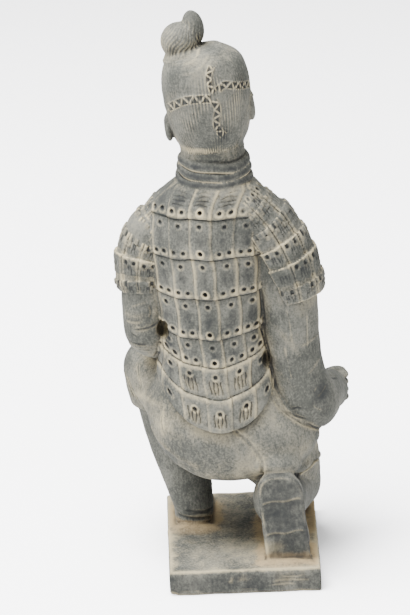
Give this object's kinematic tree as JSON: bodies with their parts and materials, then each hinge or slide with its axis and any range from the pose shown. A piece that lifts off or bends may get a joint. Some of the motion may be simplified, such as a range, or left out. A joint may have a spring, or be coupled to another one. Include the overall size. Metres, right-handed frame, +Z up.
{
  "type": "terracotta warrior statue",
  "caption": "Small fired-clay statue of a kneeling archer in plate armour with a topknot, on a low rectangular plinth.",
  "frame": {"origin": "centre of the plinth's flat underside", "axes": "+Z up, the figure faces -Y and its left side is +X"},
  "size_m": [0.1235, 0.104, 0.2983],
  "materials": {
    "fired_clay": "unglazed grey-black fired clay, matt, with beige earth dust rubbed into the hollows"
  },
  "bodies": {
    "root": {"kneeling_archer": "fired_clay"}
  },
  "joints": []
}
